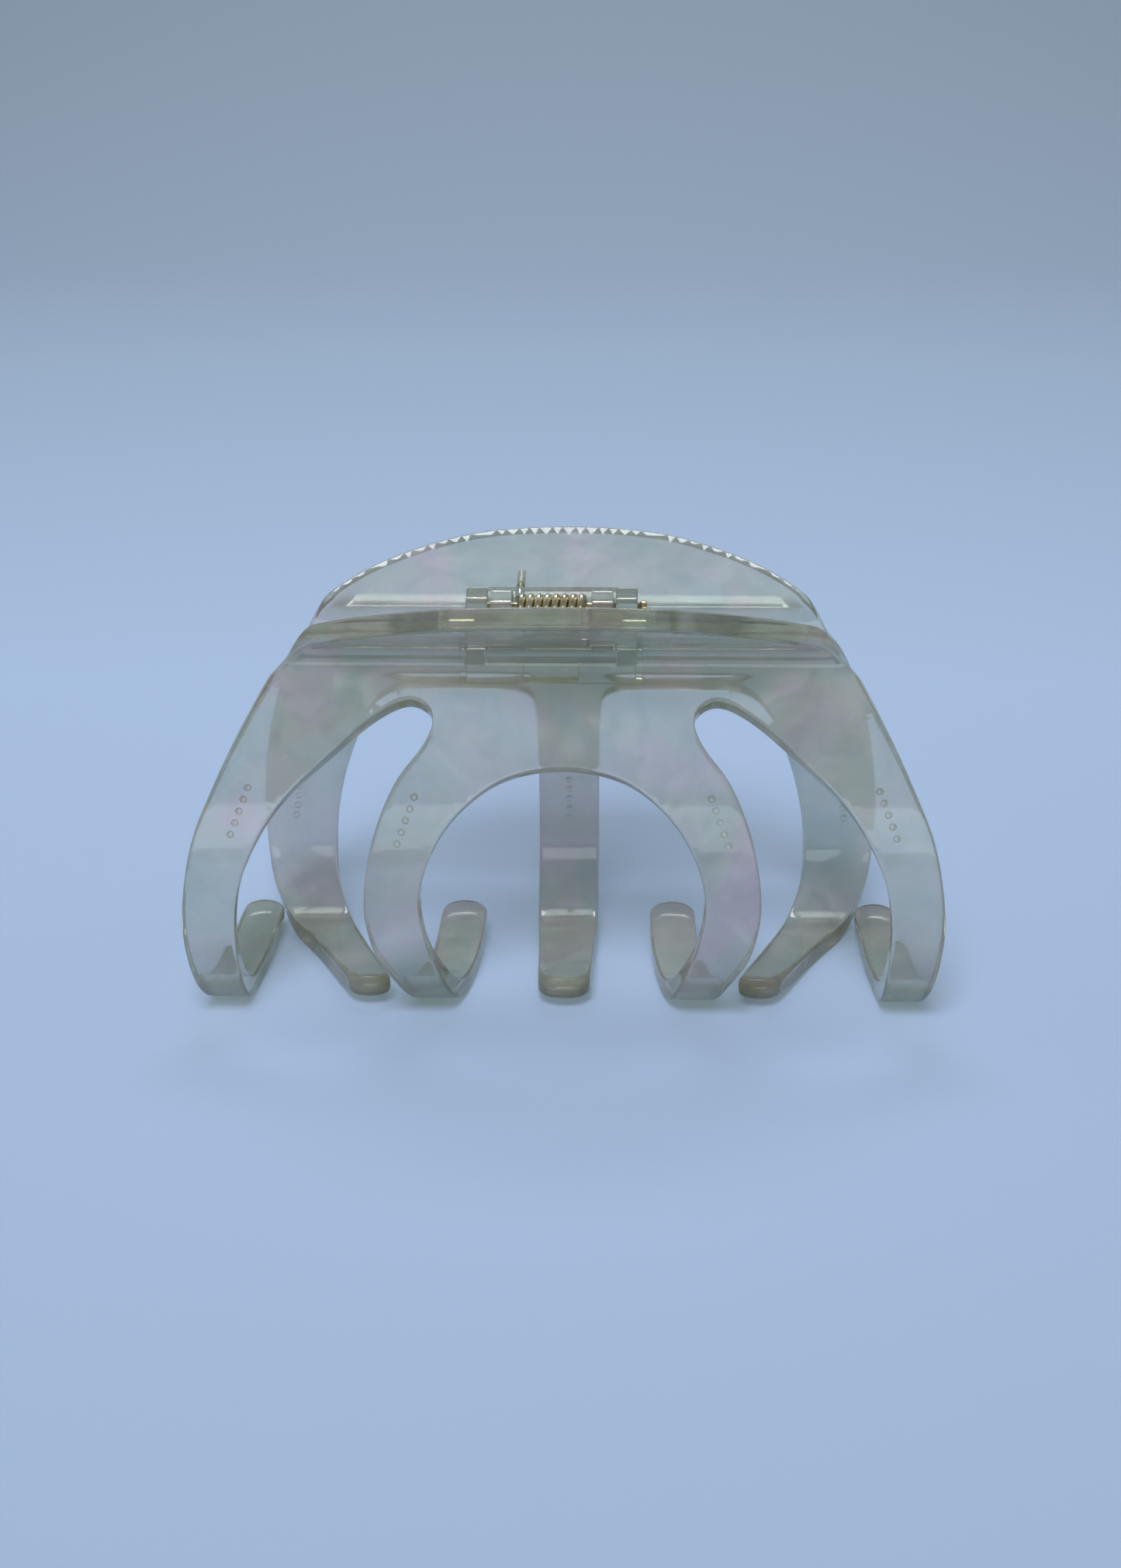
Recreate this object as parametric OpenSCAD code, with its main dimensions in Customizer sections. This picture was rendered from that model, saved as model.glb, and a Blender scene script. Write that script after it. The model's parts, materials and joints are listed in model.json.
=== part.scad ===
// Claw hair clip: two curved jaws of clear plastic whose prongs cross underneath,
// a hinge of four lugs on a metal pin, and a torsion spring coiled on that pin.
// Millimetres, +Z up. The origin is on the table, under the middle of the clip;
// X runs along the pin, and the front jaw is on the -Y side.

/* [Jaws] */
// Thickness of the jaw sheet
sheet = 2.6;          // [1.8:0.1:3.5]
// Half width of the front jaw, across its outer prongs
front_half = 44.8;    // [30:0.1:60]
// Half width of the rear jaw, across its outer prongs
rear_half = 39.8;     // [25:0.1:55]
// Reach of a thumb plate's edge from the pin, front to back
reach = 19.5;         // [14:0.1:25]
// Slope of a thumb plate above the horizontal
plate_slope = 25;     // [10:1:60]
// Length of the flat thumb plate
plate_length = 13.2;  // [8:0.1:20]
// Radius of the bend under the thumb plate
bend_radius = 3.5;    // [2.5:0.1:8]
// Radius of the bowed wall
wall_radius = 33.5;   // [25:0.5:60]
// Angle that the wall turns through, ending upright
wall_turn = 48;       // [30:1:60]
// Straight length between the wall and the curl
skirt = 3.2;          // [0:0.1:10]
// Radius of the curl at the bottom of a prong
curl_radius = 10.5;   // [6:0.1:14]
// Radius of the nearly flat end of a prong
tongue_radius = 150;  // [60:5:400]
// Angle that the end of a prong rises through
tongue_turn = 7.8;    // [0:0.1:15]

/* [Hinge] */
// Height of the pin above the table
pin_height = 47;      // [40:0.1:55]
// Middle of the hinge, to the left of the jaws' middle
hinge_x = -1.6;       // [-3:0.1:3]
// Diameter of the pin
pin_diameter = 1.2;   // [1:0.1:2]
// Radial clearance of the pin in its lugs
pin_clearance = 0.04; // [0.01:0.01:0.1]
// Radius of a lug about the pin
lug_radius = 2.35;    // [2:0.05:3.5]
// Thickness of a lug
lug_width = 2.6;      // [1.5:0.1:4]
// Clearance between a front lug and the rear lug beside it
lug_gap = 0.3;        // [0.1:0.05:0.6]
// Inner face of a rear lug from the middle of the hinge
spring_bay = 4.75;    // [4:0.05:8]
// Depth of the hinge bracket in front of the sheet
bracket_depth = 1.3;  // [0.5:0.1:2]
// How far the bracket runs on past its outer lugs
bracket_margin = 0.6; // [0:0.05:2]
// Depth of the pockets in the front bracket
pocket_depth = 1.1;   // [0.3:0.1:1.2]

/* [Spring] */
// Diameter of the spring wire
wire = 0.9;           // [0.6:0.05:1.2]
// Distance between neighbouring coils
pitch = 1.03;         // [0.8:0.01:1.4]
// Number of full turns
coils = 8;            // [5:1:12]
// Inside diameter of the coils
coil_bore = 1.6;      // [1.4:0.05:3]
// Length of each straight leg
leg_length = 11.4;    // [10:0.1:11.8]
// Rise of the legs away from the coils
leg_rise = 9.5;       // [7:0.1:10]

/* [Grip nubs] */
// Diameter of a grip nub
nub_diameter = 0.9;   // [0.6:0.1:1.5]
// Height of a grip nub above the sheet
nub_height = 0.4;     // [0.2:0.1:1]
// Nubs in a row
nub_count = 5;        // [0:1:8]
// Distance between nubs
nub_pitch = 1.4;      // [1:0.05:3]

/* [Hidden] */
$fn = 48;

// ---- side view of a jaw: flat plate, bend, bowed wall, skirt, curl and tongue, as [y, z] ----
deg = 180 / PI;
bend_end = -90 - wall_turn;                 // direction of the sheet where the bend ends
s_bend = plate_length;                      // developed length where each stretch begins
s_wall = s_bend + bend_radius * (-plate_slope - bend_end) / deg;
s_skirt = s_wall + wall_radius * wall_turn / deg;
s_curl = s_skirt + skirt;
s_flat = s_curl + curl_radius * 90 / deg;
s_tip = s_flat + tongue_radius * tongue_turn / deg;
s_cut = s_curl + curl_radius * 45 / deg;    // cut along Y above this, along Z below it

function along(a, d) = d * [cos(a), sin(a)];
function arc(r, a, b) = r * [sin(b) - sin(a), cos(a) - cos(b)];  // step round an arc, r < 0 clockwise

// direction of the sheet at the developed length s
function heading(s) =
    s < s_bend ? -plate_slope :
    s < s_wall ? -plate_slope - (s - s_bend) / bend_radius * deg :
    s < s_skirt ? bend_end + (s - s_wall) / wall_radius * deg :
    s < s_curl ? -90 :
    s < s_flat ? -90 + (s - s_curl) / curl_radius * deg :
    (s - s_flat) / tongue_radius * deg;

p_bend = along(-plate_slope, s_bend);
p_wall = p_bend + arc(-bend_radius, -plate_slope, bend_end);
p_skirt = p_wall + arc(wall_radius, bend_end, -90);
p_curl = p_skirt - [0, skirt];
p_flat = p_curl + arc(curl_radius, -90, 0);
start = [-reach, sheet / 2 - p_flat.y];     // puts the lowest point on the table

// middle of the sheet at the developed length s
function mid(s) = start + (
    s < s_bend ? along(-plate_slope, s) :
    s < s_wall ? p_bend + arc(-bend_radius, -plate_slope, heading(s)) :
    s < s_skirt ? p_wall + arc(wall_radius, bend_end, heading(s)) :
    s < s_curl ? p_skirt - [0, s - s_skirt] :
    s < s_flat ? p_curl + arc(curl_radius, -90, heading(s)) :
    p_flat + arc(tongue_radius, 0, heading(s)));
// point at distance d outside the middle of the sheet
function off(s, d) = mid(s) + d * [sin(heading(s)), -cos(heading(s))];
// the same sheet seen flat from the front, and flat from above
function level(s) = s < s_bend ? mid(s_bend).y + 4 * (s_bend - s) :
    s < s_cut ? mid(s).y : mid(s_cut).y - (s - s_cut);
function reached(s) = s < s_cut ? mid(s_cut).x - (s_cut - s) : mid(s).x;
function steps(a, b, n) = [for (i = [0:n]) a + (b - a) * i / n];
stations = concat([0, s_bend], steps(s_bend + 0.6, s_wall - 0.6, 7), steps(s_wall, s_skirt, 9),
    steps(s_curl, s_flat, 12), steps(s_flat + 4, s_tip, 3));

// ---- outlines on the developed sheet: smooth curves through [half width, length] points ----
function knot(p, i) = p[max(0, min(len(p) - 1, i))];
function smooth(p, n = 4) = [
    for (i = [0:len(p) - 2], k = [0:n - 1]) let (
        t = k / n, a = knot(p, i - 1), b = p[i], c = p[i + 1], d = knot(p, i + 2))
        0.5 * (2 * b + (c - a) * t + (2 * a - 5 * b + 4 * c - d) * t * t
            + (3 * b - a - 3 * c + d) * t * t * t),
    p[len(p) - 1]];
// rounded end of a prong, across from point a to point b
function round_end(a, b, n = 8) = let (m = (a + b) / 2, r = (a - b) / 2)
    [for (k = [1:n - 1]) m + r * cos(180 * k / n) + [0, 0.75 * norm(r) * sin(180 * k / n)]];
function scaled(p, k) = [for (q = p) [q.x * k, q.y]];
function mirrored(p) = [for (i = [len(p) - 1:-1:0]) [-p[i].x, p[i].y]];

s_end = s_tip - 2.1;                        // where the rounding of a prong's end begins
front_side = smooth([[0, 0], [9.5, 0.8], [16.2, 3], [22.9, 6.9], [27.9, 11.2], [31.4, 15.2],
    [34.3, 19.2], [36.4, 23.6], [40.7, 33.2], [43.5, 40.4], [44.8, 48.8], [44.4, 55.3], [43.3, 64.3],
    [42.7, 74.3], [42.3, s_end]]);
front_gap = smooth([[37.1, s_end], [37.4, 74.3], [38, 66.3], [38.3, 57.3], [38.6, 49.3], [37.2, 42.9],
    [33.2, 35.9], [27, 29.7], [21.8, 25], [18, 23.2], [15.4, 25.1], [16.2, 28.4], [19.7, 33.3],
    [22.2, 39.7], [23.3, 46.8], [22.4, 52.8], [19.4, 59.3], [17.4, 68.3], [16.6, 76.3], [16.4, s_end]]);
front_arch = smooth([[10.6, s_end], [10.8, 76.3], [11.8, 67.3], [13.8, 58.3], [15.9, 52.3],
    [16.7, 46.7], [15.3, 41.3], [12, 36.5], [6.8, 32.7], [0, 31.4]]);
rear_side = smooth([[0, 0], [9.5, 0.8], [16.2, 3], [22.9, 6.8], [27.5, 10.9], [31, 15.6], [33.9, 21.6],
    [36.6, 29.7], [38.8, 38.3], [39.8, 48.3], [39.1, 57.6], [36.2, 64.9], [31.4, 74.3], [26.4, s_end]]);
rear_gap = smooth([[21.1, s_end], [24.8, 75.3], [28.4, 64.7], [30.4, 57.8], [30.6, 51.3], [29.4, 44.3],
    [27.2, 37.3], [24.8, 32.1], [22, 29.2], [18, 28.6], [9, 28.6], [5.2, 29.5], [4.1, 33.3],
    [3.9, 47.3], [3.9, 62.3], [3.5, 74.3], [3.2, s_end]]);
front_outline = scaled(concat(front_side, round_end([42.3, s_end], [37.1, s_end]), front_gap,
    round_end([16.4, s_end], [10.6, s_end]), front_arch), front_half / 44.8);
rear_outline = scaled(concat(rear_side, round_end([26.4, s_end], [21.1, s_end]), rear_gap,
    [[2.8, s_end + 1], [1.8, s_end + 1.7], [0, s_tip]]), rear_half / 39.8);

// rows of grip nubs, as [x, s] of the first nub and the step to the next one
front_rows = [[37.0, 33.6, 0.5], [17.4, 34.6, 0.5]];
rear_rows = [[35.0, 43.5, 0.2], [0, 43.7, 0]];

// ---- a jaw's sheet, drawn as the front jaw ----
module side_view() {
    rotate([90, 0, 90]) linear_extrude(2.4 * front_half, center = true)
        polygon(concat([for (s = stations) off(s, sheet / 2)],
            [for (i = [len(stations) - 1:-1:0]) off(stations[i], -sheet / 2)]));
}

// the outline, square to the plate, along Y through the wall and along Z through the prong ends
module cutter(half_outline) {
    whole = concat(half_outline, mirrored(half_outline));
    lap = 0.2;
    intersection() {
        rotate([90, 0, 0]) linear_extrude(60) polygon([for (p = whole) [p.x, level(p.y)]]);
        translate([-100, -80, level(s_cut)]) cube([200, 160, 100]);
        translate([0, start.x, start.y]) rotate([-plate_slope, 0, 0])
            translate([-100, s_bend - lap, -200]) cube([200, 400, 400]);
    }
    intersection() {
        linear_extrude(level(s_cut) + lap) polygon([for (p = whole) [p.x, reached(p.y)]]);
        translate([-100, -80, 0]) cube([200, 160, 100]);
    }
    translate([0, start.x, start.y]) rotate([-plate_slope, 0, 0])
        linear_extrude(3 * sheet, center = true) intersection() {
            polygon(whole);
            translate([-100, -10]) square([200, s_bend + 10]);
        }
}

module nub(x, s) {
    translate([x, off(s, -sheet / 2).x, off(s, -sheet / 2).y]) rotate([heading(s), 0, 0])
        translate([0, 0, -0.3]) cylinder(d1 = nub_diameter, d2 = 0.6 * nub_diameter, h = 0.3 + nub_height,
            $fn = 24);
}

module jaw_sheet(half_outline, rows) {
    intersection() {
        side_view();
        cutter(half_outline);
    }
    for (row = rows, i = [0:nub_count - 1], side = [-1, 1])
        nub(side * (row.x + row.z * i), row.y + nub_pitch * i);
}

// ---- hinge, drawn on the front jaw's side of the pin ----
module lug(x0, x1) {
    a = mid(s_bend) - [0, pin_height];
    b = mid(s_wall) - [0, pin_height];
    translate([hinge_x + x0, 0, pin_height]) rotate([90, 0, 90]) linear_extrude(x1 - x0) {
        circle(lug_radius);
        polygon([[0, lug_radius], a, b, lug_radius * [cos(215), sin(215)], [0, 0]]);
    }
}

// raised pad that follows the bend and carries the lugs
module bracket(half_width) {
    c = mid(s_bend) - bend_radius * [sin(plate_slope), cos(plate_slope)];
    translate([hinge_x - half_width, c.x, c.y]) rotate([90, 0, 90])
        linear_extrude(2 * half_width) intersection() {
            difference() {
                circle(bend_radius + sheet / 2 + bracket_depth);
                circle(bend_radius);
            }
            polygon([[0, 0], [10.6, 20], [30, 20], [30, -3.7], [0, -3.7]]);
        }
}

// shallow pockets across the foot of the front bracket, below the lugs
module pockets() {
    c = mid(s_bend) - bend_radius * [sin(plate_slope), cos(plate_slope)];
    for (side = [-1, 1]) translate([hinge_x + side * 6.65 - 3.45, c.x, c.y]) rotate([90, 0, 90])
        linear_extrude(6.9) intersection() {
            difference() {
                circle(bend_radius + sheet / 2 + bracket_depth + 3);
                circle(bend_radius + sheet / 2 + bracket_depth - pocket_depth);
            }
            polygon([[0, -6], [30, -6], [30, -1.2], [0, -1.2]]);
        }
}

module pin_bore() {
    translate([hinge_x - 30, 0, pin_height]) rotate([0, 90, 0])
        cylinder(d = pin_diameter + 2 * pin_clearance, h = 60);
}

// blind hole that takes one leg of the spring
leg_x = coils * pitch / 2;
coil_radius = (coil_bore + wire) / 2;
module leg_hole(x) {
    translate([hinge_x + x, 0, pin_height]) rotate([90 - leg_rise, 0, 0])
        translate([0, -coil_radius, 2]) cylinder(d = wire + 0.3, h = leg_length - 1.5);
}

rear_lug = [spring_bay, spring_bay + lug_width];
front_lug = [rear_lug[1] + lug_gap, rear_lug[1] + lug_gap + lug_width];

module front_jaw() color("aliceblue") {
    difference() {
        jaw_sheet(front_outline, front_rows);
        leg_hole(leg_x);
    }
    difference() {
        union() {
            difference() {
                bracket(front_lug[1] + bracket_margin);
                pockets();
            }
            lug(front_lug[0], front_lug[1]);
            lug(-front_lug[1], -front_lug[0]);
        }
        pin_bore();
        leg_hole(leg_x);
    }
}

module rear_jaw() color("lightsteelblue") mirror([0, 1, 0]) {
    difference() {
        jaw_sheet(rear_outline, rear_rows);
        leg_hole(-leg_x);
    }
    difference() {
        union() {
            bracket(rear_lug[1] + bracket_margin);
            lug(rear_lug[0], rear_lug[1]);
            lug(-rear_lug[1], -rear_lug[0]);
        }
        pin_bore();
        leg_hole(-leg_x);
    }
}

// ---- pin and spring ----
module hinge_pin() color("goldenrod") translate([hinge_x, 0, pin_height]) rotate([0, 90, 0]) {
    translate([0, 0, -front_lug[1] - 0.1]) cylinder(d = pin_diameter, h = 2 * front_lug[1] + 0.6);
    translate([0, 0, front_lug[1] + 0.35]) cylinder(d = pin_diameter + 0.5, h = 0.8);
}

coil_turn = 360 * coils + 2 * leg_rise;     // the coils run on a little, into the rising legs
coil_steps = 16 * coils;
function coil_at(i) = let (a = coil_turn * i / coil_steps - leg_rise)
    [-leg_x + 2 * leg_x * i / coil_steps, -coil_radius * sin(a), -coil_radius * cos(a)];
module bead(i) {
    translate(coil_at(i)) sphere(d = wire, $fn = 8);
}
module torsion_spring() color("gold") translate([hinge_x, 0, pin_height]) {
    for (i = [0:coil_steps - 1]) hull() {
        bead(i);
        bead(i + 1);
    }
    for (side = [-1, 1]) translate([side * leg_x, 0, 0]) rotate([side * (90 - leg_rise), 0, 0])
        translate([0, -side * coil_radius, 0]) cylinder(d = wire, h = leg_length, $fn = 12);
}

front_jaw();
rear_jaw();
hinge_pin();
torsion_spring();
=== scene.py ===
"""Claw hair clip: two curved jaws of clear pearly plastic on a brass pin with a coiled spring."""
import json
import math

import bpy
import numpy as np
from mathutils import Matrix, Vector
from mathutils.geometry import delaunay_2d_cdt


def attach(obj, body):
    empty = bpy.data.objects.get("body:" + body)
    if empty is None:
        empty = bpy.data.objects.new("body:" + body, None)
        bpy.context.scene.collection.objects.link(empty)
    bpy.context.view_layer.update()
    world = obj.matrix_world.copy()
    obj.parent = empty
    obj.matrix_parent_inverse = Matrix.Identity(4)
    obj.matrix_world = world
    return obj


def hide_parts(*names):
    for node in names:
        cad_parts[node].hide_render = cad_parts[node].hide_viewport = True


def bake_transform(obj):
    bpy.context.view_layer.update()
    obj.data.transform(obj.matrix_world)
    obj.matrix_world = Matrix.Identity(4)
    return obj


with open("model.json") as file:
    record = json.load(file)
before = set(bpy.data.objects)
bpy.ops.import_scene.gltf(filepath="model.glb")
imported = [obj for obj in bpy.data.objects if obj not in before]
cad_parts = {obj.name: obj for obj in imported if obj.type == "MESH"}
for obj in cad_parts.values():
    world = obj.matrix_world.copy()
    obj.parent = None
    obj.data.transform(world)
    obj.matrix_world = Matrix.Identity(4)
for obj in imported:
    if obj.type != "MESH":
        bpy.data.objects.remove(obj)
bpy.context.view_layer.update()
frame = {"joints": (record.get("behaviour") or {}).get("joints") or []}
MM = 0.001

# ---------------------------------------------------------------- driving dimensions, in mm
SHEET = 2.6                    # thickness of a jaw
EDGE, END_EDGE = 0.42, 1.15    # rounding of its edges, and of its prongs' ends
REACH = 19.5                   # thumb plate's edge from the pin
SLOPE, PLATE = 25.0, 13.2      # slope and length of the flat thumb plate
BEND_R, WALL_R, WALL_TURN = 3.5, 33.5, 48.0
SKIRT, CURL_R = 3.2, 10.5
TONGUE_R, TONGUE_TURN = 150.0, 7.8
HINGE = Vector(next(j for j in frame["joints"] if j["name"] == "jaw_hinge")["pos_m"]) / MM
PIN_D, BORE_D, LUG_R = 1.2, 1.28, 2.35
LUG_W, LUG_GAP, BAY = 2.6, 0.3, 4.75
PAD, MARGIN, POCKET = 1.3, 0.6, 1.1   # depth of the bracket on the bend, its margin, its pockets
WIRE, PITCH, COILS, COIL_R = 0.9, 1.03, 8, 1.25
LEG, RISE = 11.4, 9.5          # the spring's straight legs and the angle they rise at
PAD_FOOT, PAD_TOP = 3.7, 1.083 # how far the pad reaches below the bend's centre, and its top angle
POCKET_X = (3.2, 10.1)         # sides of a pocket, from the middle of the hinge
POCKET_Z = (1.2, 4.3)          # top and bottom of a pocket, below the bend's centre
NUBS, NUB_PITCH = 5, 1.4       # nubs in a row and their distance
HALF_WIDTH = 44.8              # widest half-width of a jaw

# ---------------------------------------------------------------- side view of the front jaw
D2R = math.pi / 180
BEND_END = -90 - WALL_TURN
S_WALL = PLATE + BEND_R * (-SLOPE - BEND_END) * D2R
S_SKIRT = S_WALL + WALL_R * WALL_TURN * D2R
S_CURL = S_SKIRT + SKIRT
S_FLAT = S_CURL + CURL_R * 90 * D2R
S_TIP = S_FLAT + TONGUE_R * TONGUE_TURN * D2R


def step(r, a, b):
    """Step along an arc of radius r from heading a to heading b, in degrees; r < 0 is clockwise."""
    a, b = a * D2R, b * D2R
    return r * np.array([np.sin(b) - np.sin(a), np.cos(a) - np.cos(b)])


P_BEND = PLATE * np.array([math.cos(SLOPE * D2R), -math.sin(SLOPE * D2R)])
P_WALL = P_BEND + step(-BEND_R, -SLOPE, BEND_END)
P_SKIRT = P_WALL + step(WALL_R, BEND_END, -90)
P_CURL = P_SKIRT - [0, SKIRT]
P_FLAT = P_CURL + step(CURL_R, -90, 0)
START = np.array([-REACH, SHEET / 2 - P_FLAT[1]])


def heading(s):
    """Direction of the sheet in the side view at the developed length s, in degrees."""
    if s < PLATE:
        return -SLOPE
    if s < S_WALL:
        return -SLOPE - (s - PLATE) / BEND_R / D2R
    if s < S_SKIRT:
        return BEND_END + (s - S_WALL) / WALL_R / D2R
    if s < S_CURL:
        return -90.0
    if s < S_FLAT:
        return -90 + (s - S_CURL) / CURL_R / D2R
    return (s - S_FLAT) / TONGUE_R / D2R


def mid(s):
    """Middle of the sheet, as (y, z), at the developed length s from the thumb plate's edge."""
    h = heading(s)
    if s < PLATE:
        return START + s * np.array([math.cos(h * D2R), math.sin(h * D2R)])
    if s < S_WALL:
        return START + P_BEND + step(-BEND_R, -SLOPE, h)
    if s < S_SKIRT:
        return START + P_WALL + step(WALL_R, BEND_END, h)
    if s < S_CURL:
        return START + P_SKIRT - [0, s - S_SKIRT]
    if s < S_FLAT:
        return START + P_CURL + step(CURL_R, -90, h)
    return START + P_FLAT + step(TONGUE_R, 0, h)


def wrap(x, s, n):
    """Point of the front jaw at x, developed length s and height n outside the middle of the sheet."""
    h = heading(s) * D2R
    y, z = mid(s)
    return (x, y + n * math.sin(h), z - n * math.cos(h))


# ---------------------------------------------------------------- outlines on the developed sheet
def curve(points, before=None, after=None, n=10):
    """Smooth curve through the points; before and after steer its ends."""
    p = [np.array(q, float) for q in points]
    p = [np.array(before, float) if before else p[0]] + p + [np.array(after, float) if after else p[-1]]
    out = []
    for a, b, c, d in zip(p, p[1:], p[2:], p[3:]):
        for t in np.arange(n) / n:
            out.append(0.5 * (2 * b + (c - a) * t + (2 * a - 5 * b + 4 * c - d) * t * t
                              + (3 * b - a - 3 * c + d) * t ** 3))
    return out + [p[-2]]


def prong_end(a, b, n=14):
    """Rounded end of a prong, from side point a across to side point b."""
    a, b = np.array(a, float), np.array(b, float)
    m, r = (a + b) / 2, (a - b) / 2
    return [m + r * math.cos(math.pi * k / n) + [0, 0.75 * abs(r[0]) * math.sin(math.pi * k / n)]
            for k in range(1, n)]


E = S_TIP - 2.1                # where the rounding of a prong's end begins
FRONT = (
    curve([[0, 0], [9.5, 0.8], [16.2, 3], [22.9, 6.9], [27.9, 11.2], [31.4, 15.2], [34.3, 19.2], [36.4, 23.6],
           [40.7, 33.2], [43.5, 40.4], [44.8, 48.8], [44.4, 55.3], [43.3, 64.3], [42.7, 74.3],
           [42.3, E]], before=[-9.5, 0.8])
    + prong_end([42.3, E], [37.1, E])
    + curve([[37.1, E], [37.4, 74.3], [38, 66.3], [38.3, 57.3], [38.6, 49.3], [37.2, 42.9], [33.2, 35.9],
           [27, 29.7], [21.8, 25], [18, 23.2], [15.4, 25.1], [16.2, 28.4], [19.7, 33.3],
           [22.2, 39.7], [23.3, 46.8], [22.4, 52.8], [19.4, 59.3], [17.4, 68.3], [16.6, 76.3],
           [16.4, E]])
    + prong_end([16.4, E], [10.6, E])
    + curve([[10.6, E], [10.8, 76.3], [11.8, 67.3], [13.8, 58.3], [15.9, 52.3], [16.7, 46.7], [15.3, 41.3],
           [12, 36.5], [6.8, 32.7], [0, 31.4]], after=[-6.8, 32.7]))
REAR = (
    curve([[0, 0], [9.5, 0.8], [16.2, 3], [22.9, 6.8], [27.5, 10.9], [31, 15.6], [33.9, 21.6], [36.6, 29.7],
           [38.8, 38.3], [39.8, 48.3], [39.1, 57.6], [36.2, 64.9], [31.4, 74.3], [26.4, E]],
          before=[-9.5, 0.8])
    + prong_end([26.4, E], [21.1, E])
    + curve([[21.1, E], [24.8, 75.3], [28.4, 64.7], [30.4, 57.8], [30.6, 51.3], [29.4, 44.3], [27.2, 37.3],
           [24.8, 32.1], [22, 29.2], [18, 28.6], [9, 28.6], [5.2, 29.5], [4.1, 33.3],
           [3.9, 47.3], [3.9, 62.3], [3.5, 74.3], [3.2, E]])
    + prong_end([3.2, E], [-3.2, E])[:7])
FRONT_ROWS = [(37.0, 33.6, 0.5), (17.4, 34.6, 0.5)]
REAR_ROWS = [(35.0, 43.5, 0.2), (0.0, 43.7, 0.0)]


def closed_loop(half, spacing=0.42):
    """The whole outline, evenly spaced and with its corners eased."""
    p = np.array(half)
    p = np.vstack([p, (p * [-1, 1])[::-1]])
    p = p[np.r_[True, np.linalg.norm(np.diff(p, axis=0), axis=1) > 1e-6]]
    q = np.vstack([p, p[:1]])
    length = np.r_[0, np.cumsum(np.linalg.norm(np.diff(q, axis=0), axis=1))]
    n = int(length[-1] / spacing)
    t = np.arange(n) * length[-1] / n
    out = np.stack([np.interp(t, length, q[:, i]) for i in (0, 1)], 1)
    for _ in range(3):
        out = 0.25 * np.roll(out, 1, 0) + 0.5 * out + 0.25 * np.roll(out, -1, 0)
    area = 0.5 * np.sum(out[:, 0] * np.roll(out[:, 1], -1) - np.roll(out[:, 0], -1) * out[:, 1])
    return out if area > 0 else out[::-1]


def inside(points, loop):
    """Which points lie inside the closed loop."""
    x, y = points[:, 0:1], points[:, 1:2]
    x0, y0 = loop[:, 0], loop[:, 1]
    x1, y1 = np.roll(x0, -1), np.roll(y0, -1)
    crosses = (y0 > y) != (y1 > y)
    at = x0 + (y - y0) / np.where(y1 == y0, 1e-12, y1 - y0) * (x1 - x0)
    return (np.sum(crosses & (x < at), axis=1) % 2) == 1


def new_mesh(name, verts, faces):
    me = bpy.data.meshes.new(name)
    me.from_pydata([tuple(c * MM for c in v) for v in verts], [], faces)
    me.validate()
    me.update()
    ob = bpy.data.objects.new(name, me)
    bpy.context.scene.collection.objects.link(ob)
    return ob


def sheet_solid(name, half_outline):
    """The jaw's sheet as one closed surface with rounded edges, wrapped on the side view."""
    loop = closed_loop(half_outline)
    tangent = np.roll(loop, -1, 0) - np.roll(loop, 1, 0)
    tangent /= np.linalg.norm(tangent, axis=1)[:, None]
    inward = np.stack([-tangent[:, 1], tangent[:, 0]], 1)
    edge = EDGE + (END_EDGE - EDGE) * np.clip((loop[:, 1] - S_TIP + 7) / 6, 0, 1) ** 2
    rings = [(1 - math.sin(a), 1 - math.cos(a), 1) for a in (k * math.pi / 12 for k in range(7))]
    rings += [(d, n, -1) for d, n, _ in reversed(rings)]
    rim = loop + edge[:, None] * inward
    rows = np.concatenate([
        np.arange(0.6, PLATE, 1.6), np.linspace(PLATE, S_WALL, 19), np.arange(S_WALL + 0.9, S_CURL, 0.95),
        np.arange(S_CURL + 0.7, S_FLAT, 0.75), np.arange(S_FLAT + 1, S_TIP, 1.5)])
    columns = np.arange(-HALF_WIDTH, HALF_WIDTH + 0.1, 1.4)
    grid = np.array([(x, s) for s in rows for x in columns])
    grid = grid[inside(grid, rim)]
    far = np.array([np.min(np.sum((rim - g) ** 2, axis=1)) for g in grid])
    grid = grid[far > 0.3 ** 2]
    n = len(rim)
    flat = [Vector(p) for p in np.vstack([rim, grid])]
    result = delaunay_2d_cdt(flat, [(i, (i + 1) % n) for i in range(n)], [], 1, 1e-7)
    points, triangles, origin = result[0], result[2], result[3]
    where = {o: i for i, os_ in enumerate(origin) for o in os_}
    verts, top, base = [], {}, len(points)
    for side in (1, -1):
        verts += [wrap(p[0], p[1], side * SHEET / 2) for p in points]
    faces = [tuple(t) for t in triangles] + [tuple(i + base for i in reversed(t)) for t in triangles]
    index = [[where[i] for i in range(n)]]
    for d, h, side in rings[1:-1]:
        index.append(list(range(len(verts), len(verts) + n)))
        verts += [wrap(p[0], p[1], side * (SHEET / 2 - h * e))
                  for p, e in zip(loop + d * edge[:, None] * inward, edge)]
    index.append([where[i] + base for i in range(n)])
    for a, b in zip(index, index[1:]):
        faces += [(a[i], b[i], b[(i + 1) % n], a[(i + 1) % n]) for i in range(n)]
    return new_mesh(name, verts, faces)


def side_block(name, outline, x0, x1, bevel=0.22):
    """A block with the (y, z) outline between x0 and x1, its long edges rounded."""
    n = len(outline)
    verts = [(x, y, z) for x in (x0, x1) for y, z in outline]
    faces = [tuple(range(n))[::-1], tuple(range(n, 2 * n))]
    faces += [(i, (i + 1) % n, n + (i + 1) % n, n + i) for i in range(n)]
    ob = new_mesh(name, verts, faces)
    mod = ob.modifiers.new("round", "BEVEL")
    mod.width, mod.segments, mod.limit_method, mod.angle_limit = bevel * MM, 3, "ANGLE", 0.9
    apply_modifiers(ob)
    return ob


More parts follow.
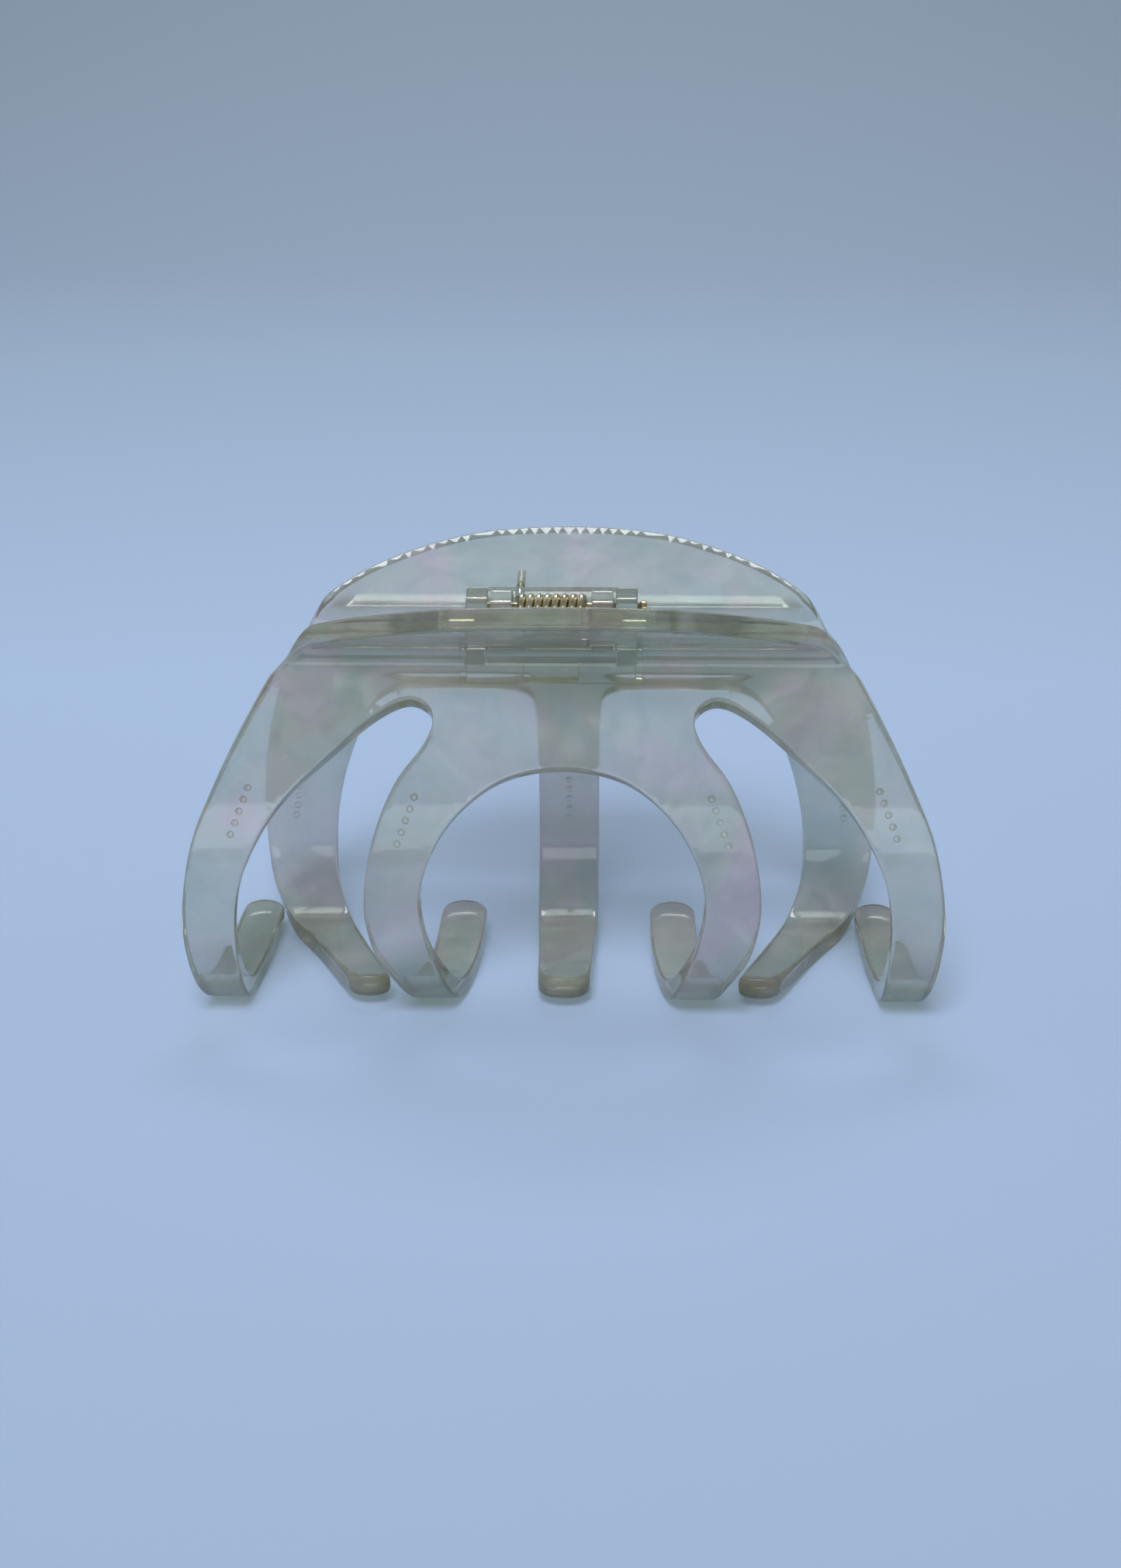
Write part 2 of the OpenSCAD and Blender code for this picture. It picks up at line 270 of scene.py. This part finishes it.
def apply_modifiers(ob):
    graph = bpy.context.evaluated_depsgraph_get()
    me = bpy.data.meshes.new_from_object(ob.evaluated_get(graph))
    old = ob.data
    ob.modifiers.clear()
    ob.data = me
    bpy.data.meshes.remove(old)


def combine(ob, tools, operation):
    """Joins the tools to a solid, or cuts them out of it, and removes them."""
    for tool in tools:
        mod = ob.modifiers.new(operation.lower(), "BOOLEAN")
        mod.operation, mod.object, mod.solver = operation, tool, "EXACT"
        bpy.context.view_layer.update()
        apply_modifiers(ob)
        bpy.data.objects.remove(tool)


def tube(name, path, radius, sides=20, ends=True):
    """Round wire along a path of points, with rounded ends."""
    p = np.array(path, float)
    t = np.gradient(p, axis=0)
    t /= np.linalg.norm(t, axis=1)[:, None]
    normal = np.cross(t[0], [1, 0, 0])
    if np.linalg.norm(normal) < 0.1:
        normal = np.cross(t[0], [0, 0, 1])
    verts, rings = [], []
    stations = [(0, -radius * 0.35, 0.55), (0, -radius * 0.22, 0.85)] if ends else []
    stations += [(i, 0.0, 1.0) for i in range(len(p))]
    stations += [(len(p) - 1, radius * 0.22, 0.85), (len(p) - 1, radius * 0.35, 0.55)] if ends else []
    for i, along, k in stations:
        normal = normal - t[i] * np.dot(normal, t[i])
        normal /= np.linalg.norm(normal)
        other = np.cross(t[i], normal)
        rings.append(len(verts))
        for j in range(sides):
            a = 2 * math.pi * j / sides
            spoke = normal * math.cos(a) + other * math.sin(a)
            verts.append(tuple(p[i] + t[i] * along + k * radius * spoke))
    faces = [tuple(range(sides))[::-1], tuple(rings[-1] + j for j in range(sides))]
    for a, b in zip(rings, rings[1:]):
        faces += [(a + j, a + (j + 1) % sides, b + (j + 1) % sides, b + j) for j in range(sides)]
    return new_mesh(name, verts, faces)


def nubs(name, rows):
    """Rows of small domes on the inner face, each turned from (radius, height) pairs."""
    profile = [(0.46, 0.25), (0.45, -0.02), (0.42, -0.14), (0.34, -0.27), (0.22, -0.37), (0.09, -0.41)]
    verts, faces = [], []
    for x0, s0, dx in rows:
        for side in ((1, -1) if x0 else (1,)):
            for i in range(NUBS):
                x, s = side * (x0 + dx * i), s0 + NUB_PITCH * i
                base, m = len(verts), 14
                for r, n in profile:
                    for j in range(m):
                        a = 2 * math.pi * j / m
                        verts.append(wrap(x + r * math.cos(a), s + r * math.sin(a), -SHEET / 2 + n))
                faces.append(tuple(base + j for j in range(m)))
                faces.append(tuple(base + (len(profile) - 1) * m + j for j in reversed(range(m))))
                for k in range(len(profile) - 1):
                    a, b = base + k * m, base + (k + 1) * m
                    faces += [(a + j, b + j, b + (j + 1) % m, a + (j + 1) % m) for j in range(m)]
    return new_mesh(name, verts, faces)


def lug_outline():
    """Round eye about the pin with an arm that runs into the sheet at the bend."""
    a, b = mid(PLATE), mid(S_WALL)
    eye = [(LUG_R * math.sin(t), HINGE.z + LUG_R * math.cos(t)) for t in np.linspace(0, 2.18, 22)]
    eye += [(LUG_R * math.sin(t), HINGE.z + LUG_R * math.cos(t)) for t in np.linspace(2.3, 3.9, 12)]
    return eye + [tuple(b), tuple(a)]


def bend_centre():
    """Centre of the bend under the thumb plate, as (y, z)."""
    return mid(PLATE) - BEND_R * np.array([math.sin(SLOPE * D2R), math.cos(SLOPE * D2R)])


def bend_arc(r, a, b, n):
    """Arc of radius r about the centre of the bend, from angle a to angle b in radians."""
    c = bend_centre()
    return [(c[0] + r * math.cos(t), c[1] + r * math.sin(t)) for t in np.linspace(a, b, n)]


def pad_outline():
    """Raised pad that follows the bend and carries the lugs."""
    r0, r1 = BEND_R + 0.2, BEND_R + SHEET / 2 + PAD
    outer = bend_arc(r1, math.asin(-PAD_FOOT / r1), PAD_TOP, 20)
    inner = bend_arc(r0, math.asin(-PAD_FOOT / r0), PAD_TOP, 12)
    return outer + inner[::-1]


def pocket_outline():
    """Shallow pocket across the foot of the front pad."""
    c = bend_centre()
    r = BEND_R + SHEET / 2 + PAD - POCKET
    top, foot = POCKET_Z
    inner = bend_arc(r, math.asin(-foot / r), math.asin(-top / r), 12)
    below = c[1] - foot - 0.3
    return inner[::-1] + [(c[0] + r - 0.6, below), (c[0] + r + 3, below), (c[0] + r + 3, c[1] - top)]


def leg_line(x, side, a, b, n=20):
    """Straight leg of the spring, rising away from the coils; side is +1 for the rear one."""
    c, d = math.cos(RISE * D2R), math.sin(RISE * D2R)
    return [(x, side * (COIL_R * d + t * c), HINGE.z - COIL_R * c + t * d) for t in np.linspace(a, b, n)]


def jaw(name, half_outline, rows, lug_x, leg_x, back):
    """One moulded jaw: sheet, nubs, hinge pad and lugs in a single closed skin."""
    ob = sheet_solid(name, half_outline)
    x0, x1 = lug_x
    pad = side_block("pad", pad_outline(), HINGE.x - x1 - MARGIN, HINGE.x + x1 + MARGIN, 0.3)
    if not back:
        combine(pad, [side_block("pocket", pocket_outline(), HINGE.x + a, HINGE.x + b)
                      for a, b in ((-POCKET_X[1], -POCKET_X[0]), POCKET_X)], "DIFFERENCE")
    parts = [pad]
    parts += [side_block("lug", lug_outline(), HINGE.x + min(a, b), HINGE.x + max(a, b))
              for a, b in ((x0, x1), (-x0, -x1))]
    combine(ob, parts + [nubs("nubs", rows)], "UNION")
    bore = tube("bore", [(HINGE.x - 30 + i, 0, HINGE.z) for i in range(61)], BORE_D / 2, 32, False)
    hole = tube("hole", leg_line(HINGE.x + leg_x, -1, 2, LEG + 0.35), WIRE / 2 + 0.1, 20, False)
    combine(ob, [bore, hole], "DIFFERENCE")
    if back:
        ob.data.transform(Matrix.Scale(-1, 4, (0, 1, 0)))
        ob.data.flip_normals()
    for p in ob.data.polygons:
        p.use_smooth = True
    ob.data.set_sharp_from_angle(angle=0.7)
    mod = ob.modifiers.new("normals", "WEIGHTED_NORMAL")
    mod.keep_sharp, mod.weight = True, 60
    apply_modifiers(ob)
    return ob


leg_x = COILS * PITCH / 2
rear_lug = (BAY, BAY + LUG_W)
front_lug = (rear_lug[1] + LUG_GAP, rear_lug[1] + LUG_GAP + LUG_W)
front_jaw = jaw("front_jaw_clear", FRONT, FRONT_ROWS, front_lug, leg_x, False)
rear_jaw = jaw("rear_jaw_clear", REAR, REAR_ROWS, rear_lug, -leg_x, True)

# ---------------------------------------------------------------- pin and spring
def lathe_x(name, profile, sides=40):
    """A turned piece about the hinge axis, from (x, radius) pairs."""
    verts, faces = [], []
    for x, r in profile:
        for j in range(sides):
            a = 2 * math.pi * j / sides
            verts.append((HINGE.x + x, r * math.cos(a), HINGE.z + r * math.sin(a)))
    for k in range(len(profile) - 1):
        a, b = k * sides, (k + 1) * sides
        faces += [(a + j, a + (j + 1) % sides, b + (j + 1) % sides, b + j) for j in range(sides)]
    faces = [tuple(reversed(f)) for f in faces]
    faces.append(tuple(range(sides)))
    faces.append(tuple((len(profile) - 1) * sides + j for j in reversed(range(sides))))
    return new_mesh(name, verts, faces)


x1 = front_lug[1]
r = PIN_D / 2
pin = lathe_x("hinge_pin_wire", [
    (-x1 - 0.1, 0.7 * r), (-x1 - 0.03, 0.92 * r), (-x1 + 0.08, r), (0, r),
    (x1 + 0.30, r), (x1 + 0.34, r + 0.05), (x1 + 0.40, r + 0.2), (x1 + 0.5, r + 0.25),
    (x1 + 0.98, r + 0.25), (x1 + 1.09, r + 0.2), (x1 + 1.15, r)])
coil = []
for u in np.linspace(0, 1, COILS * 32 + 1):
    a = u * (2 * math.pi * COILS + 2 * RISE * D2R) - RISE * D2R
    coil.append((HINGE.x + leg_x * (2 * u - 1), -COIL_R * math.sin(a), HINGE.z - COIL_R * math.cos(a)))
leg_back = leg_line(HINGE.x - leg_x, 1, LEG, 0.3)
leg_front = leg_line(HINGE.x + leg_x, -1, 0.3, LEG)
spring = tube("torsion_spring_wire", leg_back + coil + leg_front, WIRE / 2, 18)
for ob in (pin, spring):
    for p in ob.data.polygons:
        p.use_smooth = True
    ob.data.set_sharp_from_angle(angle=0.9)


# ---------------------------------------------------------------- materials
def material(name):
    """An empty node material: the material, its nodes and its links."""
    m = bpy.data.materials.new(name)
    m.use_nodes = True
    m.node_tree.nodes.clear()
    return m, m.node_tree.nodes, m.node_tree.links


def node(nodes, kind, **values):
    """A new node with its inputs or settings given by name."""
    n = nodes.new(kind)
    for k, v in values.items():
        if k in n.inputs:
            n.inputs[k].default_value = v
        else:
            setattr(n, k, v)
    return n


def clear_plastic(name, seed):
    """Milky clear plastic with pearl in soft clouds; thick paths through it turn olive."""
    m, N, L = material(name)
    coords = node(N, "ShaderNodeTexCoord")
    shift = node(N, "ShaderNodeMapping")
    shift.inputs["Location"].default_value = (seed, seed * 0.7, seed * 1.3)
    L.new(coords.outputs["Object"], shift.inputs["Vector"])
    clouds = node(N, "ShaderNodeTexNoise", Scale=85.0, Detail=2.0, Roughness=0.45, Distortion=0.9)
    pearl = node(N, "ShaderNodeTexNoise", Scale=150.0, Detail=3.0, Roughness=0.55, Distortion=1.4)
    for n in (clouds, pearl):
        L.new(shift.outputs["Vector"], n.inputs["Vector"])
    tint = node(N, "ShaderNodeValToRGB")
    ramp = tint.color_ramp
    ramp.elements[0].position, ramp.elements[0].color = 0.33, (0.62, 0.67, 0.66, 1)
    ramp.elements[1].position, ramp.elements[1].color = 0.68, (0.75, 0.65, 0.71, 1)
    e = ramp.elements.new(0.5)
    e.color = (0.69, 0.69, 0.67, 1)
    L.new(clouds.outputs["Fac"], tint.inputs["Fac"])
    clear = node(N, "ShaderNodeMapRange")
    for k, v in (("From Min", 0.35), ("From Max", 0.68), ("To Min", 0.90), ("To Max", 0.78)):
        clear.inputs[k].default_value = v
    L.new(pearl.outputs["Fac"], clear.inputs["Value"])
    rough = node(N, "ShaderNodeMapRange")
    for k, v in (("From Min", 0.3), ("From Max", 0.7), ("To Min", 0.04), ("To Max", 0.11)):
        rough.inputs[k].default_value = v
    L.new(clouds.outputs["Fac"], rough.inputs["Value"])
    ripple = node(N, "ShaderNodeTexNoise", Scale=110.0, Detail=1.0)
    L.new(shift.outputs["Vector"], ripple.inputs["Vector"])
    bump = node(N, "ShaderNodeBump", Strength=0.07, Distance=0.0004)
    L.new(ripple.outputs["Fac"], bump.inputs["Height"])
    b = node(N, "ShaderNodeBsdfPrincipled")
    b.inputs["IOR"].default_value = 1.49
    L.new(tint.outputs["Color"], b.inputs["Base Color"])
    L.new(clear.outputs["Result"], b.inputs["Transmission Weight"])
    L.new(rough.outputs["Result"], b.inputs["Roughness"])
    L.new(bump.outputs["Normal"], b.inputs["Normal"])
    lamps = node(N, "ShaderNodeBsdfTransparent", Color=(0.64, 0.64, 0.60, 1))
    path = node(N, "ShaderNodeLightPath")
    mix = node(N, "ShaderNodeMixShader")
    L.new(path.outputs["Is Shadow Ray"], mix.inputs["Fac"])
    L.new(b.outputs["BSDF"], mix.inputs[1])
    L.new(lamps.outputs["BSDF"], mix.inputs[2])
    out = node(N, "ShaderNodeOutputMaterial")
    L.new(mix.outputs["Shader"], out.inputs["Surface"])
    absorb = node(N, "ShaderNodeVolumeAbsorption")
    absorb.inputs["Color"].default_value = (0.87, 0.86, 0.66, 1)
    absorb.inputs["Density"].default_value = 150.0
    L.new(absorb.outputs["Volume"], out.inputs["Volume"])
    return m


def bright_wire(name, light, dark, scale):
    """Gold-coloured drawn wire with faint draw marks and tarnish."""
    m, N, L = material(name)
    coords = node(N, "ShaderNodeTexCoord")
    stain = node(N, "ShaderNodeTexNoise", Scale=scale, Detail=4.0, Roughness=0.65)
    L.new(coords.outputs["Object"], stain.inputs["Vector"])
    ramp = node(N, "ShaderNodeValToRGB")
    ramp.color_ramp.elements[0].position, ramp.color_ramp.elements[0].color = 0.35, (*dark, 1)
    ramp.color_ramp.elements[1].position, ramp.color_ramp.elements[1].color = 0.6, (*light, 1)
    L.new(stain.outputs["Fac"], ramp.inputs["Fac"])
    rough = node(N, "ShaderNodeMapRange")
    for k, v in (("From Min", 0.3), ("From Max", 0.7), ("To Min", 0.14), ("To Max", 0.3)):
        rough.inputs[k].default_value = v
    L.new(stain.outputs["Fac"], rough.inputs["Value"])
    bump = node(N, "ShaderNodeBump", Strength=0.15, Distance=0.00004)
    L.new(stain.outputs["Fac"], bump.inputs["Height"])
    b = node(N, "ShaderNodeBsdfPrincipled", Metallic=1.0)
    L.new(ramp.outputs["Color"], b.inputs["Base Color"])
    L.new(rough.outputs["Result"], b.inputs["Roughness"])
    L.new(bump.outputs["Normal"], b.inputs["Normal"])
    out = node(N, "ShaderNodeOutputMaterial")
    L.new(b.outputs["BSDF"], out.inputs["Surface"])
    return m


front_jaw.data.materials.clear()
rear_jaw.data.materials.clear()
front_jaw.data.materials.append(clear_plastic("pearl_clear_front", 0.31))
rear_jaw.data.materials.append(clear_plastic("pearl_clear_rear", 1.7))
pin.data.materials.append(bright_wire("pin_brass", (0.93, 0.82, 0.55), (0.68, 0.55, 0.30), 900.0))
spring.data.materials.append(bright_wire("spring_gold", (0.98, 0.90, 0.66), (0.80, 0.66, 0.38), 700.0))

# ---------------------------------------------------------------- what rides on what
for piece, body, slot in (
        (front_jaw, "front", "jaw_plastic"),
        (rear_jaw, "rear", "jaw_plastic"),
        (pin, "front", "pin_metal")):
    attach(piece, body)
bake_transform(spring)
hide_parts("front_jaw")
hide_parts("rear_jaw")
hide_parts("hinge_pin")
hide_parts("torsion_spring")

# ---------------------------------------------------------------- floor that sweeps up behind
def backdrop():
    """Floor and wall in one sweep; its colour changes with the distance behind the clip as painted light
    falloff: darker in front, lighter and greyer towards the back and up the wall.
    """
    verts, w = [], 3.0
    line = [(-1.5, 0.0), (0.6, 0.0)]
    line += [(0.6 + 0.6 * math.sin(a), 0.6 - 0.6 * math.cos(a)) for a in np.linspace(0.05, math.pi / 2, 24)]
    line += [(1.2, 2.5)]
    for x in (-w, w):
        verts += [(x, y, z) for y, z in line]
    n = len(line)
    faces = [(i, i + n, i + n + 1, i + 1) for i in range(n - 1)]
    me = bpy.data.meshes.new("sweep")
    me.from_pydata(verts, [], faces)
    ob = bpy.data.objects.new("sweep", me)
    bpy.context.scene.collection.objects.link(ob)
    for p in me.polygons:
        p.use_smooth = True
    m, N, L = material("pale_paper")
    b = node(N, "ShaderNodeBsdfPrincipled", Roughness=0.75)
    coords = node(N, "ShaderNodeTexCoord")
    split = node(N, "ShaderNodeSeparateXYZ")
    L.new(coords.outputs["Object"], split.inputs["Vector"])
    span = node(N, "ShaderNodeMapRange")
    for k, v in (("From Min", -0.15), ("From Max", 1.2)):
        span.inputs[k].default_value = v
    L.new(split.outputs["Y"], span.inputs["Value"])
    # painted light falloff, not the paper's own colour: the ramp darkens the floor in front and lightens it
    # towards the back and up the wall
    painted_falloff_ramp = node(N, "ShaderNodeValToRGB")
    e = painted_falloff_ramp.color_ramp.elements
    e[0].position, e[0].color = 0.0, (0.30, 0.37, 0.49, 1)
    e[1].position, e[1].color = 1.0, (0.54, 0.61, 0.70, 1)
    for at, colour in (
            (0.08, (0.37, 0.45, 0.61, 1)),
            (0.2, (0.46, 0.56, 0.75, 1)),
            (0.45, (0.49, 0.59, 0.74, 1))):
        e.new(at).color = colour
    L.new(span.outputs["Result"], painted_falloff_ramp.inputs["Fac"])
    L.new(painted_falloff_ramp.outputs["Color"], b.inputs["Base Color"])
    out = node(N, "ShaderNodeOutputMaterial")
    L.new(b.outputs["BSDF"], out.inputs["Surface"])
    me.materials.append(m)


backdrop()

# ---------------------------------------------------------------- light and camera
world = bpy.data.worlds.new("studio")
bpy.context.scene.world = world
world.use_nodes = True
N, L = world.node_tree.nodes, world.node_tree.links
coords, split = node(N, "ShaderNodeTexCoord"), node(N, "ShaderNodeSeparateXYZ")
L.new(coords.outputs["Generated"], split.inputs["Vector"])
room = node(N, "ShaderNodeMapRange", interpolation_type="SMOOTHSTEP")
for k, v in (("From Min", -0.25), ("From Max", 0.35), ("To Min", 0.2), ("To Max", 0.55)):
    room.inputs[k].default_value = v
L.new(split.outputs["Y"], room.inputs["Value"])
N["Background"].inputs["Color"].default_value = (0.84, 0.92, 1.0, 1)
L.new(room.outputs["Result"], N["Background"].inputs["Strength"])


def softbox(name, at, aim, size, power, colour=(1, 1, 1)):
    """Rectangular lamp at a place in metres, turned towards its aim."""
    light = bpy.data.lights.new(name, "AREA")
    light.shape, light.size, light.size_y = "RECTANGLE", size[0], size[1]
    light.energy, light.color = power, colour
    ob = bpy.data.objects.new(name, light)
    ob.location = at
    ob.rotation_euler = (Vector(aim) - Vector(at)).to_track_quat("-Z", "Y").to_euler()
    bpy.context.scene.collection.objects.link(ob)
    return ob


softbox("window", (-0.03, 0.55, 0.83), (0, 0, 0.02), (0.5, 0.2), 2.6, (0.86, 0.95, 1.0))
key = softbox("key", (-0.06, -0.5, 0.62), (0, 0, 0.02), (0.26, 0.26), 5.4, (0.86, 0.94, 1.0))
key.visible_glossy = key.visible_transmission = False
low = softbox("low", (0.05, -0.9, 0.24), (0, 0, 0.03), (1.0, 0.3), 1.9, (0.84, 0.94, 1.0))
low.visible_diffuse = low.visible_transmission = False

# camera: its lens, how it stands to the clip and how far from the middle of the picture it has the target
LENS, SENSOR = 56.047, 36.0          # mm; the sensor spans the height of the picture
DISTANCE, ELEVATION, YAW, ROLL = 0.300, 19.6, 1.5, -0.2
ASIDE, BELOW = 0.1274, -0.2730       # degrees
target = Vector((0, 0, 0.026))
el, az = ELEVATION * D2R, YAW * D2R
back = Vector((math.sin(az) * math.cos(el), -math.cos(az) * math.cos(el), math.sin(el)))
eye = target + back * DISTANCE
fwd = -back
right = fwd.cross(Vector((0, 0, 1))).normalized()
up = right.cross(fwd)
ax, ay = ASIDE * D2R, BELOW * D2R
fwd = (fwd * math.cos(ax) * math.cos(ay) - right * math.sin(ax) + up * math.sin(ay)).normalized()
right = fwd.cross(Vector((0, 0, 1))).normalized()
up = right.cross(fwd)
roll = ROLL * D2R
right, up = right * math.cos(roll) + up * math.sin(roll), up * math.cos(roll) - right * math.sin(roll)
cam_data = bpy.data.cameras.new("camera")
cam_data.lens, cam_data.sensor_width = LENS, SENSOR
cam_data.clip_start = 0.01
camera = bpy.data.objects.new("camera", cam_data)
camera.matrix_world = Matrix((
    (right.x, up.x, -fwd.x, eye.x),
    (right.y, up.y, -fwd.y, eye.y),
    (right.z, up.z, -fwd.z, eye.z),
    (0, 0, 0, 1)))
bpy.context.scene.collection.objects.link(camera)
bpy.context.scene.camera = camera
bpy.context.scene.view_settings.view_transform = "Standard"
